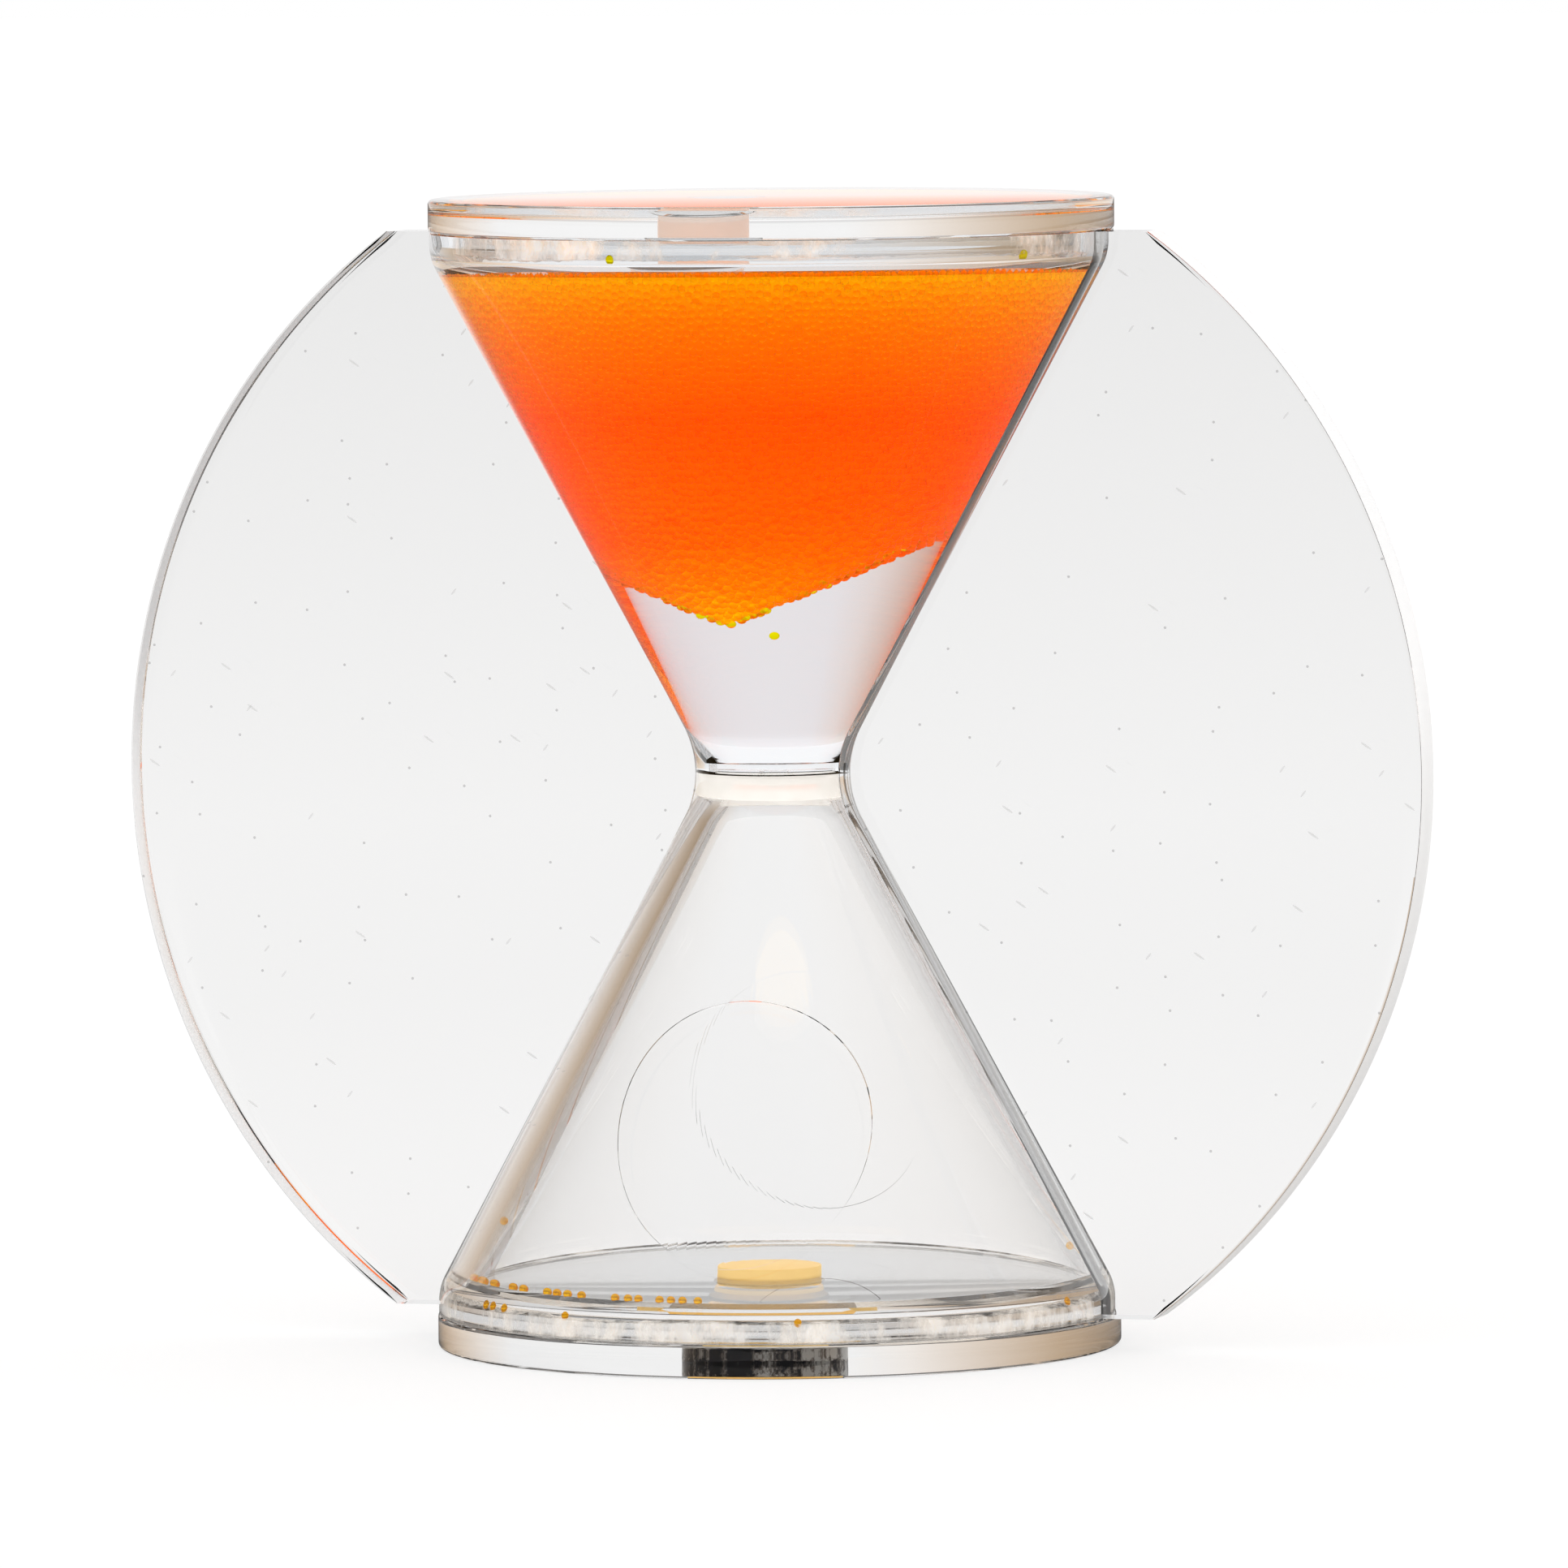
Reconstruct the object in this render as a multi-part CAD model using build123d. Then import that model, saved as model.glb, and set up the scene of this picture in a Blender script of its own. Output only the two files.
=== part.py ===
from build123d import *
import math
import os

os.makedirs("parts", exist_ok=True)

# Frame: Z up through the neck, origin at the middle of the foot, X along the two wings, Y through the thickness.

# Overall sizes, in millimetres
HEIGHT = 109.0
CAP_RADIUS = 32.5
WING_RADIUS = 63.5
WING_THICKNESS = 5.5
MID = HEIGHT / 2

# End caps: a disc with a spigot that fits inside the funnel's mouth
CAP_THICKNESS = 3.2
SPIGOT_RADIUS = 29.0
SPIGOT_DEPTH = 2.55
CAP_EDGE_ROUND = 0.4
SPIGOT_EDGE_ROUND = 0.3
FLOOR = CAP_THICKNESS + SPIGOT_DEPTH

# Funnels: straight cones on both sides of a rounded neck, with a short upright rim at the mouth
CONE_HALF_ANGLE = 28.06
CONE_RISE = math.tan(math.radians(CONE_HALF_ANGLE))
CONE_APEX_RADIUS = 6.3
NECK_ROUND = 9.2
RIM_RADIUS = 32.4
RIM_ROUND = 5.0
WALL = 2.1
MOUTH_RADIUS = RIM_RADIUS - 2.2
BORE_RADIUS = 4.5
INNER_APEX_RADIUS = CONE_APEX_RADIUS - WALL / math.cos(math.radians(CONE_HALF_ANGLE))
SEAM_HALF_HEIGHT = MID - CAP_THICKNESS

# Neck joint: a sleeve on the upper funnel sits in a socket of the lower one, with the orifice disc in the bore
SLEEVE_RADIUS = 5.6
SOCKET_RADIUS = 5.8
SLEEVE_LENGTH = 2.5
SOCKET_DEPTH = 2.6
DISC_THICKNESS = 0.85
ORIFICE_RADIUS = 0.9

# Round dimple, front and back of the lower funnel; the turn runs from the front, towards +X
DIMPLE_RADIUS = 12.0
DIMPLE_DEPTH = 0.25
DIMPLE_HEIGHT = 22.0
DIMPLE_TURN = 6.7

# Wings
WING_CORNER_ROUND = 1.2
WING_EDGE_ROUND = 0.9

# Stoppers in the caps and the cement over them
UPPER_PLUG_X = -4.4
UPPER_PLUG_RADIUS = 2.9
UPPER_PLUG_LENGTH = 2.0
UPPER_MOUTH_RADIUS = 3.75
UPPER_MOUTH_DEPTH = 2.1
LOWER_PLUG_X = -1.0
LOWER_PLUG_RADIUS = 5.0
LOWER_MOUTH_RADIUS = 5.3
LOWER_MOUTH_DEPTH = 1.2
LOWER_PLUG_TOP = FLOOR + 1.4
PLUG_ROUND = 0.3

# Cement rings round the spigots; a narrow gap above them holds stray beads
BOND_HEIGHT = 1.3

# Bead mass: flat under the upper cap, an inverted heap with its point a little left of the axis
HEAP_POINT_Z = 70.0
HEAP_POINT_X = -3.5
HEAP_SLOPE = 30.0
BEAD_CLEARANCE = 0.05

# Liquid that has run down so far: a thin pool on the lower floor
POOL_LEVEL = 6.2

# Single beads
BEAD_RADIUS = 0.4
GAP_BEAD_RADIUS = 0.36
POCKET_CLEARANCE = 0.05
BALL_WIDTH = 0.95
BALL_CHAMFER = 0.2929
FLOW_BORE_RADIUS = 0.8
UPPER_GAP_BEAD_ANGLES = (-68.0, -14.0, 66.0)
LOWER_GAP_BEAD_ANGLES = (-47.4, -45.0, -41.4, -25.4, 18.8, 76.6)
POOL_BEAD_ANGLES = (-64.4, -61.3, -53.5, -48.1, -41.4, -38.1, -31.4, -28.9, -26.3, -23.0, -15.6,
                    -12.9, -10.8, -6.6, -4.4, -2.2, 0.7)
WALL_BEAD_PLACES = ((-64.0, 12.0), (98.0, 9.2))


def cone_radius(height, apex_radius):
    """Radius of a straight cone at a height above or below the middle of the neck."""
    return apex_radius + CONE_RISE * height


def funnel_outline():
    """Closed half section of the solid funnel, drawn upwards from the middle of the neck."""
    knee = (RIM_RADIUS - CONE_APEX_RADIUS) / CONE_RISE
    centre = CONE_APEX_RADIUS + NECK_ROUND / math.cos(math.radians(CONE_HALF_ANGLE))
    neck = centre - NECK_ROUND
    half = math.radians(CONE_HALF_ANGLE)
    tangent = (centre - NECK_ROUND * math.cos(half), NECK_ROUND * math.sin(half))
    middle = (centre - NECK_ROUND * math.cos(half / 2), NECK_ROUND * math.sin(half / 2))
    run = RIM_ROUND * math.tan(half / 2)
    cone_end = (RIM_RADIUS - run * math.sin(half), knee - run * math.cos(half))
    rim_centre = RIM_RADIUS - RIM_ROUND
    rim_middle = (rim_centre + RIM_ROUND * math.cos(half / 2), knee + run - RIM_ROUND * math.sin(half / 2))
    with BuildLine(Plane.XZ) as outline:
        Line((0, 0), (neck, 0))
        ThreePointArc((neck, 0), middle, tangent)
        Line(tangent, cone_end)
        ThreePointArc(cone_end, rim_middle, (RIM_RADIUS, knee + run))
        Line((RIM_RADIUS, knee + run), (RIM_RADIUS, SEAM_HALF_HEIGHT))
        Line((RIM_RADIUS, SEAM_HALF_HEIGHT), (0, SEAM_HALF_HEIGHT))
        Line((0, SEAM_HALF_HEIGHT), (0, 0))
    return outline


def half_turned(points):
    """Solid turned about Z from the corners of a half section, as radius and height pairs."""
    with BuildPart() as turned:
        with BuildSketch(Plane.XZ):
            with BuildLine():
                Polyline(*points, close=True)
            make_face()
        revolve(axis=Axis.Z)
    return turned.part


def funnel_body():
    """The funnel as one full solid, its neck on the XY plane and its mouth upwards."""
    with BuildPart() as body:
        with BuildSketch(Plane.XZ):
            add(funnel_outline())
            make_face()
        revolve(axis=Axis.Z)
    return body.part


def chamber(low, top=SEAM_HALF_HEIGHT, shrink=0.0):
    """The space inside a funnel between two heights above the middle of the neck."""
    apex = INNER_APEX_RADIUS - shrink
    mouth = MOUTH_RADIUS - shrink
    knee = (mouth - apex) / CONE_RISE
    points = [(0, low), (cone_radius(low, apex), low)]
    if top > knee:
        points += [(mouth, knee), (mouth, top)]
    else:
        points += [(cone_radius(top, apex), top)]
    points += [(0, top)]
    return half_turned(points)


def neck_bore_end():
    """Height above the middle of the neck where the straight bore opens into the inner cone."""
    return (BORE_RADIUS - INNER_APEX_RADIUS) / CONE_RISE


def upright(radius, low, top, x=0.0, y=0.0):
    """Upright cylinder between two heights."""
    return Pos(x, y, low) * Cylinder(radius, top - low, align=(Align.CENTER, Align.CENTER, Align.MIN))


def upside_down(shape):
    """Turn a shape over about the middle of its own frame."""
    return Rot(180, 0, 0) * shape


def upper_funnel():
    """Upper chamber wall with the sleeve that reaches into the lower neck."""
    body = funnel_body() - chamber(neck_bore_end())
    body += upright(SLEEVE_RADIUS, -SLEEVE_LENGTH, 0)
    body -= upright(BORE_RADIUS, -SLEEVE_LENGTH, neck_bore_end())
    return Pos(0, 0, MID) * body


def dimples():
    """Round pads of shallow depth that follow the cone, on its front and back."""
    inset = DIMPLE_DEPTH / math.cos(math.radians(CONE_HALF_ANGLE))
    low = DIMPLE_HEIGHT / 2
    top = SEAM_HALF_HEIGHT - WALL
    outside = [
        (cone_radius(low, CONE_APEX_RADIUS - inset), low),
        (cone_radius(low, CONE_APEX_RADIUS + inset), low),
        (cone_radius(top, CONE_APEX_RADIUS + inset), top),
        (cone_radius(top, CONE_APEX_RADIUS - inset), top),
    ]
    skin = half_turned(outside)
    across = Rot(0, 0, DIMPLE_TURN) * Rot(90, 0, 0) * Cylinder(DIMPLE_RADIUS, 2 * CAP_RADIUS)
    across = Pos(0, 0, MID - DIMPLE_HEIGHT) * across
    return skin & across


def lower_funnel():
    """Lower chamber wall with the socket in its neck and the two dimples."""
    body = funnel_body() - dimples() - chamber(SOCKET_DEPTH)
    body -= upright(SOCKET_RADIUS, 0, SOCKET_DEPTH)
    return Pos(0, 0, MID) * upside_down(body)


def orifice_disc():
    """Thin disc across the bore, with the flow hole through its middle."""
    disc = Cylinder(BORE_RADIUS, DISC_THICKNESS)
    hole = Cylinder(ORIFICE_RADIUS, 2 * DISC_THICKNESS)
    return Pos(0, 0, MID) * (disc - hole)


def neck_bond():
    """Ring of cement between sleeve and socket, turned under the sleeve's end."""
    ring = upright(SOCKET_RADIUS, -SOCKET_DEPTH, 0) - upright(SLEEVE_RADIUS, -SLEEVE_LENGTH, 0)
    inner = cone_radius(SOCKET_DEPTH, INNER_APEX_RADIUS)
    return Pos(0, 0, MID) * (ring - upright(inner, -SOCKET_DEPTH, 0))


def wing_plate(side):
    """Flat plate with a round outer edge; its inner edge is cut to the hourglass. Side is -1 or 1."""
    with BuildPart() as plate:
        with BuildSketch(Plane.XZ) as face:
            Circle(WING_RADIUS)
            Rectangle(WING_RADIUS * 2, SEAM_HALF_HEIGHT * 2, mode=Mode.INTERSECT)
            fillet(face.vertices(), WING_CORNER_ROUND)
        extrude(amount=WING_THICKNESS / 2, both=True)
        fillet(plate.faces().filter_by(Axis.Y).edges(), WING_EDGE_ROUND)
        with Locations((-side * WING_RADIUS, 0, 0)):
            Box(WING_RADIUS * 2, WING_THICKNESS * 2, HEIGHT, mode=Mode.SUBTRACT)
        add(funnel_body(), mode=Mode.SUBTRACT)
        add(upside_down(funnel_body()), mode=Mode.SUBTRACT)
    return Pos(0, 0, MID) * plate.part


def cap_body():
    """Disc with a rounded rim and a spigot on its upper side, its outer face on the XY plane."""
    disc = upright(CAP_RADIUS, 0, CAP_THICKNESS)
    disc = fillet(disc.edges(), CAP_EDGE_ROUND)
    spigot = upright(SPIGOT_RADIUS, CAP_EDGE_ROUND, FLOOR)
    spigot = fillet(spigot.edges().sort_by(Axis.Z)[-1], SPIGOT_EDGE_ROUND)
    return disc + spigot


def lower_cap():
    """Foot disc with a recess underneath and a through hole for the rubber stopper."""
    body = cap_body()
    body -= upright(LOWER_MOUTH_RADIUS, 0, LOWER_MOUTH_DEPTH, LOWER_PLUG_X)
    body -= upright(LOWER_PLUG_RADIUS, 0, FLOOR, LOWER_PLUG_X)
    return body


def upper_cap():
    """Top disc with the stepped filling hole left of the axis."""
    body = Pos(0, 0, HEIGHT) * upside_down(cap_body())
    body -= upright(UPPER_MOUTH_RADIUS, HEIGHT - UPPER_MOUTH_DEPTH, HEIGHT, UPPER_PLUG_X)
    body -= upright(UPPER_PLUG_RADIUS, HEIGHT - FLOOR, HEIGHT, UPPER_PLUG_X)
    return body


def lower_plug():
    """Rubber stopper pushed through the foot, its rounded end a little above the chamber floor."""
    plug = upright(LOWER_PLUG_RADIUS, LOWER_MOUTH_DEPTH, LOWER_PLUG_TOP, LOWER_PLUG_X)
    return fillet(plug.edges().sort_by(Axis.Z)[-1], PLUG_ROUND)


def upper_plug():
    """Short stopper half way up the filling hole, which stays open below it."""
    top = HEIGHT - UPPER_MOUTH_DEPTH
    return upright(UPPER_PLUG_RADIUS, top - UPPER_PLUG_LENGTH, top, UPPER_PLUG_X)


def lower_plug_seal():
    """Cement that fills the recess in the foot."""
    return upright(LOWER_MOUTH_RADIUS, 0, LOWER_MOUTH_DEPTH, LOWER_PLUG_X)


def upper_plug_seal():
    """Cement that fills the mouth of the filling hole."""
    return upright(UPPER_MOUTH_RADIUS, HEIGHT - UPPER_MOUTH_DEPTH, HEIGHT, UPPER_PLUG_X)


def cap_bond():
    """Ring of cement between a spigot and the funnel's mouth, low in the gap."""
    top = CAP_THICKNESS + BOND_HEIGHT
    return upright(MOUTH_RADIUS, CAP_THICKNESS, top) - upright(SPIGOT_RADIUS, CAP_THICKNESS, top)


def heap_space():
    """Everything above the inverted heap's surface: a cone with its point down, then a cylinder."""
    reach = 2 * CAP_RADIUS
    rise = reach * math.tan(math.radians(HEAP_SLOPE))
    space = half_turned([(0, HEAP_POINT_Z), (reach, HEAP_POINT_Z + rise), (reach, 2 * HEIGHT), (0, 2 * HEIGHT)])
    return Pos(HEAP_POINT_X, 0, 0) * space


def bead_charge():
    """The mass of beads afloat under the upper cap."""
    low = HEAP_POINT_Z - MID - BEAD_RADIUS
    mass = Pos(0, 0, MID) * chamber(low, MID - FLOOR - BEAD_CLEARANCE, BEAD_CLEARANCE)
    return mass & heap_space()


def liquid_upper():
    """Clear liquid from the orifice disc up to the heap, with the flow line kept free."""
    low = DISC_THICKNESS / 2
    bore_end = neck_bore_end()
    liquid = upright(BORE_RADIUS, low, bore_end) + chamber(bore_end, MID - FLOOR - BEAD_CLEARANCE)
    liquid = Pos(0, 0, MID) * liquid - heap_space()
    return liquid - upright(FLOW_BORE_RADIUS, 0, HEIGHT)


def liquid_lower():
    """Shallow pool on the chamber floor and in the gap beside the spigot."""
    bed = CAP_THICKNESS + BOND_HEIGHT
    pool = Pos(0, 0, MID) * upside_down(chamber(MID - POOL_LEVEL, MID - bed))
    pool -= upright(SPIGOT_RADIUS, 0, FLOOR)
    pool -= lower_plug()
    for angle in LOWER_GAP_BEAD_ANGLES:
        pool -= gap_bead(angle, gap_ring(), lower_gap_height(), GAP_BEAD_RADIUS + POCKET_CLEARANCE)
    return pool


def bead(x, y, z, radius=BEAD_RADIUS):
    """One small bead as a ball of 26 flats, to keep the many beads light."""
    width = 2 * radius * BALL_WIDTH
    block = Box(width, width, width)
    return Pos(x, y, z) * chamfer(block.edges(), width * BALL_CHAMFER)


def against_cone(height, radius):
    """Distance from the axis of a bead that touches the inner cone at a height from the middle."""
    return cone_radius(height, INNER_APEX_RADIUS) - (radius + BEAD_CLEARANCE) / math.cos(math.radians(CONE_HALF_ANGLE))


def gap_bead(angle, ring, z, radius=GAP_BEAD_RADIUS):
    """A bead in the gap beside a spigot; the angle runs from the front, towards +X."""
    turn = math.radians(angle)
    return bead(ring * math.sin(turn), -ring * math.cos(turn), z, radius)


def gap_ring():
    """Distance from the axis of the middle of the gap beside a spigot."""
    return (SPIGOT_RADIUS + MOUTH_RADIUS) / 2


def upper_gap_beads():
    """Beads that slipped up beside the upper spigot as far as the cement."""
    z = HEIGHT - CAP_THICKNESS - BOND_HEIGHT - GAP_BEAD_RADIUS
    return Compound(children=[gap_bead(angle, gap_ring(), z) for angle in UPPER_GAP_BEAD_ANGLES])


def lower_gap_height():
    """Height of the beads that lie on the cement beside the lower spigot."""
    return CAP_THICKNESS + BOND_HEIGHT + GAP_BEAD_RADIUS + POCKET_CLEARANCE


def lower_gap_beads():
    """Beads that sank into the gap beside the lower spigot."""
    z = lower_gap_height()
    return Compound(children=[gap_bead(angle, gap_ring(), z) for angle in LOWER_GAP_BEAD_ANGLES])


def wall_bead_places():
    """Centres of the beads that cling to the lower wall: a row afloat on the pool, and a few higher up."""
    afloat = POOL_LEVEL + BEAD_RADIUS + BEAD_CLEARANCE
    places = []
    for angle, z in [(angle, afloat) for angle in POOL_BEAD_ANGLES] + list(WALL_BEAD_PLACES):
        turn = math.radians(angle)
        reach = against_cone(MID - z, BEAD_RADIUS)
        places.append((reach * math.sin(turn), -reach * math.cos(turn), z))
    return places


def lower_wall_beads():
    """The beads along the wall of the lower chamber."""
    return Compound(children=[bead(*place) for place in wall_bead_places()])


def rising_bead():
    """One bead on the flow line, just under the heap."""
    return Pos(0, 0, HEAP_POINT_Z - 2 * BEAD_RADIUS) * Sphere(BEAD_RADIUS)


bond = cap_bond()
pieces = {
    "upper_funnel": upper_funnel(),
    "lower_funnel": lower_funnel(),
    "orifice_disc": orifice_disc(),
    "neck_bond": neck_bond(),
    "left_wing": wing_plate(-1),
    "right_wing": wing_plate(1),
    "upper_cap": upper_cap(),
    "lower_cap": lower_cap(),
    "upper_cap_bond": Pos(0, 0, HEIGHT) * upside_down(bond),
    "lower_cap_bond": bond,
    "upper_plug": upper_plug(),
    "lower_plug": lower_plug(),
    "upper_plug_seal": upper_plug_seal(),
    "lower_plug_seal": lower_plug_seal(),
    "bead_charge": bead_charge(),
    "liquid_upper": liquid_upper(),
    "liquid_lower": liquid_lower(),
    "upper_gap_beads": upper_gap_beads(),
    "lower_gap_beads": lower_gap_beads(),
    "lower_wall_beads": lower_wall_beads(),
    "rising_bead": rising_bead(),
}

for name, shape in pieces.items():
    export_step(shape, f"parts/{name}.step")
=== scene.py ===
import math
import random

import bmesh
import bpy
from mathutils import Matrix, Vector


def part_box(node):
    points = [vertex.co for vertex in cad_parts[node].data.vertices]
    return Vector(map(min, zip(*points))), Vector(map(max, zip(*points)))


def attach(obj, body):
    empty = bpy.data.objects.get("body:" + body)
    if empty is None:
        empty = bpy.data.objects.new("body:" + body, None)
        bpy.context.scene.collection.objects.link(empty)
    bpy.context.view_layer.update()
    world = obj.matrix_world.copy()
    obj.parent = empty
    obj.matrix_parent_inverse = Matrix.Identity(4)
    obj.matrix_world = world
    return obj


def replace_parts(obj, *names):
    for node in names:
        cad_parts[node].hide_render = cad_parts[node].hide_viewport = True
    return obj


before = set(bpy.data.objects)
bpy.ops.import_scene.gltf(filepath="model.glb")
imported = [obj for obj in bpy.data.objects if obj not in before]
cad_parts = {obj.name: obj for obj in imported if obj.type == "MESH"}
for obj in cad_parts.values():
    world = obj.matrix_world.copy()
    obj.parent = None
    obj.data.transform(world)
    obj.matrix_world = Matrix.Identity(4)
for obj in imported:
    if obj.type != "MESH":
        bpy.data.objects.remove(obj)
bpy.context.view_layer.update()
random.seed(7)

# Sizes in metres, the same as the solid model's
MM = 0.001
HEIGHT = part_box("upper_cap")[1][2]
MID = HEIGHT / 2
CAP_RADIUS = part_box("lower_cap")[1][0]
CAP_THICKNESS = 3.2 * MM
CAP_EDGE = 0.4 * MM
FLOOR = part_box("lower_cap")[1][2]
SPIGOT_RADIUS = 29.0 * MM
SPIGOT_CHAMFER = 0.3 * MM
SEAM = MID - CAP_THICKNESS
CONE_ANGLE = math.radians(28.06)
CONE_RISE = math.tan(CONE_ANGLE)
OUTER_APEX = 6.3 * MM
NECK_ROUND = 9.2 * MM
RIM_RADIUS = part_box("upper_funnel")[1][0]
RIM_ROUND = 5.0 * MM
WALL_THICKNESS = 2.1 * MM
INNER_APEX = OUTER_APEX - WALL_THICKNESS / math.cos(CONE_ANGLE)
MOUTH_RADIUS = 30.2 * MM
BORE_RADIUS = 4.5 * MM
SLEEVE_RADIUS = 5.6 * MM
SOCKET_RADIUS = 5.8 * MM
SOCKET_DEPTH = 2.6 * MM
ORIFICE_RADIUS = 0.9 * MM
DISC_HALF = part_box("orifice_disc")[1][2] - MID
WING_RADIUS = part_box("right_wing")[1][0]
WING_THICKNESS = 5.5 * MM
WING_BEVEL = 0.35 * MM
DIMPLE_RADIUS = 12.0 * MM
DIMPLE_DEPTH = 0.25 * MM
DIMPLE_HEIGHT = 22.0 * MM
DIMPLE_TURN = math.radians(6.7)
HEAP_POINT = Vector((-3.5, 0.0, 70.0)) * MM
HEAP_RISE = math.tan(math.radians(30.0))
BEAD_RADIUS = 0.4 * MM
BEAD_PITCH = 2 * BEAD_RADIUS
POOL_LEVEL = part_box("liquid_lower")[1][2]

# Of the visual model alone
MENISCUS = 0.3 * MM
GAP_BEAD_RADIUS = 0.36 * MM
ROW_STEP = 0.87          # from row to row of packed balls, in pitches
FIT = 0.02 * MM          # play of cement and disc, and lap of the caps over the seam
WING_LAP = 0.1 * MM      # the wings' inner edge lies this far inside the funnel wall
STOPPER_INSET = 0.03 * MM
STOPPER_BEVEL = 0.12 * MM
FLOOR_DROP = 0.03 * MM   # the floor lies this far under the foot
TURN_STEPS = 192
SAME = 1e-6              # levels nearer than this are one level
MERGE = 1e-7

ACRYLIC_IOR = 1.49
LIQUID_IOR = 1.27

# Marks on the wings: cell, width, turn, length to width, grey level, strength
DUST_AND_HAIRS = (
    (5.0 * MM, 0.13 * MM, 0.0, 1.0, 0.3, 0.45),
    (4.2 * MM, 0.1 * MM, 0.6, 6.0, 0.6, 0.35),
    (5.1 * MM, 0.1 * MM, -0.9, 4.0, 0.6, 0.3),
)

# Camera, fitted to the outline of the photograph; picture width and focal length in picture points
PICTURE_WIDTH = 1932
FOCAL_LENGTH = 17458.18
CAMERA_TURN = 0.2731
CAMERA_DISTANCE = 1342.2031 * MM
CAMERA_HEIGHT = 146.4147 * MM
YAW, PITCH, ROLL = 0.0006, 0.0693, -0.0080


# Shapes

def arc(centre, radius, start, end, steps):
    """Points of an arc in the radius and height plane, angles in radians."""
    points = []
    for i in range(steps + 1):
        angle = start + (end - start) * i / steps
        points.append((centre[0] + radius * math.cos(angle), centre[1] + radius * math.sin(angle)))
    return points


def straight(start, end, steps=24):
    """Points along a straight run, without its start, close together so that its shading stays straight."""
    points = []
    for i in range(1, steps + 1):
        t = i / steps
        points.append((start[0] + (end[0] - start[0]) * t, start[1] + (end[1] - start[1]) * t))
    return points


def outer_profile():
    """The funnel's outside from the middle of the neck up to the seam."""
    centre = (OUTER_APEX + NECK_ROUND / math.cos(CONE_ANGLE), 0.0)
    points = arc(centre, NECK_ROUND, math.pi, math.pi - CONE_ANGLE, 20)
    knee = (RIM_RADIUS - OUTER_APEX) / CONE_RISE
    run = RIM_ROUND * math.tan(CONE_ANGLE / 2)
    rim = arc((RIM_RADIUS - RIM_ROUND, knee + run), RIM_ROUND, -CONE_ANGLE, 0.0, 14)
    points += straight(points[-1], rim[0])
    points += rim[1:]
    points += straight(points[-1], (RIM_RADIUS, SEAM), 3)
    return points


def outer_radius(height):
    """Outside radius of the hourglass at a height above or below the middle."""
    height = abs(height)
    centre = OUTER_APEX + NECK_ROUND / math.cos(CONE_ANGLE)
    if height < NECK_ROUND * math.sin(CONE_ANGLE):
        return centre - math.sqrt(NECK_ROUND ** 2 - height ** 2)
    return min(RIM_RADIUS, OUTER_APEX + CONE_RISE * height)


def inner_radius(height):
    """Inside radius of a chamber at a height above or below the middle."""
    return min(MOUTH_RADIUS, max(BORE_RADIUS, INNER_APEX + CONE_RISE * abs(height)))


def heap_height(x, y):
    """Height of the inverted heap's surface over a place."""
    return HEAP_POINT.z + HEAP_RISE * math.hypot(x - HEAP_POINT.x, y - HEAP_POINT.y)


def jitter(size):
    """A random step either way."""
    return random.uniform(-size, size)


def middle(node):
    """Middle of a node's box."""
    low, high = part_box(node)
    return [(a + b) / 2 for a, b in zip(low, high)]


def turned(profile, closed=True, steps=TURN_STEPS):
    """A mesh spun round the neck's axis from radius and height pairs."""
    bm = bmesh.new()
    verts = [bm.verts.new((r, 0.0, z)) for r, z in profile]
    edges = [bm.edges.new(pair) for pair in zip(verts, verts[1:])]
    if closed:
        edges.append(bm.edges.new((verts[-1], verts[0])))
    bmesh.ops.spin(bm, geom=verts + edges, cent=(0, 0, 0), axis=(0, 0, 1), angle=2 * math.pi,
                   steps=steps, use_merge=True)
    bmesh.ops.remove_doubles(bm, verts=bm.verts, dist=MERGE)
    bmesh.ops.recalc_face_normals(bm, faces=bm.faces)
    return bm


def post(radius, low, top, x):
    """An upright round post with a small bevel at both ends."""
    bm = bmesh.new()
    bmesh.ops.create_cone(bm, cap_ends=True, segments=64, radius1=radius, radius2=radius, depth=top - low)
    bmesh.ops.translate(bm, verts=bm.verts, vec=(x, 0.0, (low + top) / 2))
    rims = [edge for edge in bm.edges if abs(edge.verts[0].co.z - edge.verts[1].co.z) < MERGE]
    bmesh.ops.bevel(bm, geom=rims, offset=STOPPER_BEVEL, segments=3, affect="EDGES", profile=0.5, material=-1)
    return bm


def mesh_of(name, bm):
    """Turns a bmesh into a mesh."""
    mesh = bpy.data.meshes.new(name)
    bm.to_mesh(mesh)
    bm.free()
    return mesh


def placed(name, mesh):
    """Puts a mesh or a camera into the scene as an object."""
    item = bpy.data.objects.new(name, mesh)
    bpy.context.scene.collection.objects.link(item)
    return item


def new_object(name, bm, materials, body="timer", sharp=20.0, flat_y=False):
    """Finishes a mesh as a piece that rides with a body; flat_y keeps its front and back faces flat."""
    mesh = mesh_of(name, bm)
    for material in materials:
        mesh.materials.append(material)
    for polygon in mesh.polygons:
        polygon.use_smooth = not (flat_y and abs(polygon.normal.y) > 0.9999)
    mesh.set_sharp_from_angle(angle=math.radians(sharp))
    piece = placed(name, mesh)
    if body:
        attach(piece, body)
    return piece


def combine(piece, tool, how):
    """Applies a boolean of one piece with another, which is then removed."""
    cut = piece.modifiers.new("cut", "BOOLEAN")
    cut.operation = how
    cut.object = tool
    cut.solver = "EXACT"
    bpy.context.view_layer.update()
    graph = bpy.context.evaluated_depsgraph_get()
    mesh = bpy.data.meshes.new_from_object(piece.evaluated_get(graph))
    piece.modifiers.remove(cut)
    piece.data = mesh
    bpy.data.objects.remove(tool)


# Shader nodes

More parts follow.
